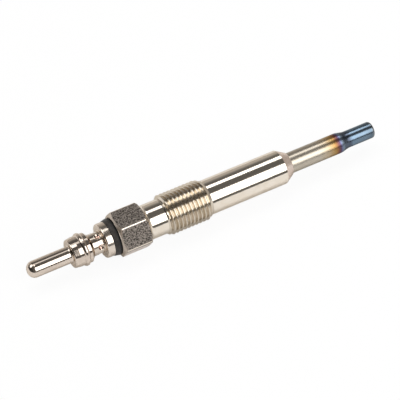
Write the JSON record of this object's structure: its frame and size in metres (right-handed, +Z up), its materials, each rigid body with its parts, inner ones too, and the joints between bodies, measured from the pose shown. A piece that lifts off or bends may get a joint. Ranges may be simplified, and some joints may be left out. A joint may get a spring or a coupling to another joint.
{
  "type": "diesel glow plug",
  "caption": "Sheathed-element diesel glow plug: push-on terminal, insulating ring, hexagon shell with thread and seat cone, and a glow tube with a swaged, heat-tinted tip.",
  "frame": {"origin": "Halfway along the plug's length, on the surface that it lies on, under its axis.", "axes": "+X along the plug's axis from the terminal to the glowing tip, +Z up from the surface it lies on, one hexagon flat facing down."},
  "size_m": [0.0914, 0.0116, 0.01],
  "materials": {
    "terminal_plating": "bright nickel plating on a turned terminal",
    "black_insulator": "black moulded insulating ring",
    "shell_plating": "bright nickel plating, with grained hexagon flats",
    "gasket_rubber": "black elastomer",
    "rod_steel": "drawn steel rod",
    "seal_rubber": "brown heat-resistant elastomer",
    "tube_alloy": "heat-resistant alloy, tinted straw, violet and blue towards the tip",
    "magnesia_powder": "compacted white magnesia powder",
    "control_wire": "drawn nickel wire",
    "heater_wire": "drawn resistance wire"
  },
  "bodies": {
    "root": {"connection_terminal": "terminal_plating", "insulating_washer": "black_insulator", "plug_shell": "shell_plating", "double_gasket": "gasket_rubber", "centre_rod": "rod_steel", "heater_seal": "seal_rubber", "glow_tube": "tube_alloy", "filling_powder": "magnesia_powder", "control_coil": "control_wire", "heater_coil": "heater_wire"}
  },
  "joints": []
}
